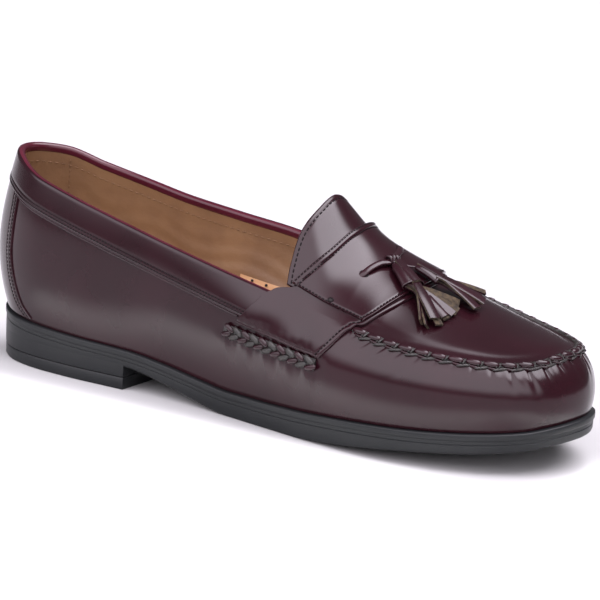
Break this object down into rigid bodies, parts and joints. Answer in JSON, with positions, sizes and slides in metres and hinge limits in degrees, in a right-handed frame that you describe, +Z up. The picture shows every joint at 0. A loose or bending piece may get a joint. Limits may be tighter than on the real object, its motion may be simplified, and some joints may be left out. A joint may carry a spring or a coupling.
{
  "type": "tassel loafer",
  "caption": "Low slip-on leather dress shoe with a hand-sewn apron, an instep strap with a saddle and hanging tassels, on a low-heeled sole.",
  "frame": {"origin": "on the floor, at the middle of the heel's flat underside", "axes": "+X from the heel to the toe, +Y to the inner (medial) side of this right shoe, +Z up"},
  "size_m": [0.3, 0.0998, 0.0994],
  "materials": {
    "sole": "satin charcoal rubber, a lighter rib along the top of its edge",
    "sock": "matte pale tan sock leather",
    "upper": "polished dark burgundy leather",
    "lacing": "dark waxed lacing and thread",
    "trim": "burgundy leather with an olive-brown suede flesh side"
  },
  "bodies": {
    "root": {"outsole": "sole", "heel_lift": "sole", "insole": "sock", "upper": "upper", "tongue": "upper", "collar_band": "upper", "back_stay": "upper", "strap": "upper", "saddle": "upper", "apron_seam": "lacing", "laced_seam_lateral": "lacing", "laced_seam_medial": "lacing", "tassel_lace_lateral": "trim", "tassel_lace_medial": "trim", "tassel_knot": "trim", "tassel_lateral": "trim", "tassel_medial": "trim"}
  },
  "joints": []
}
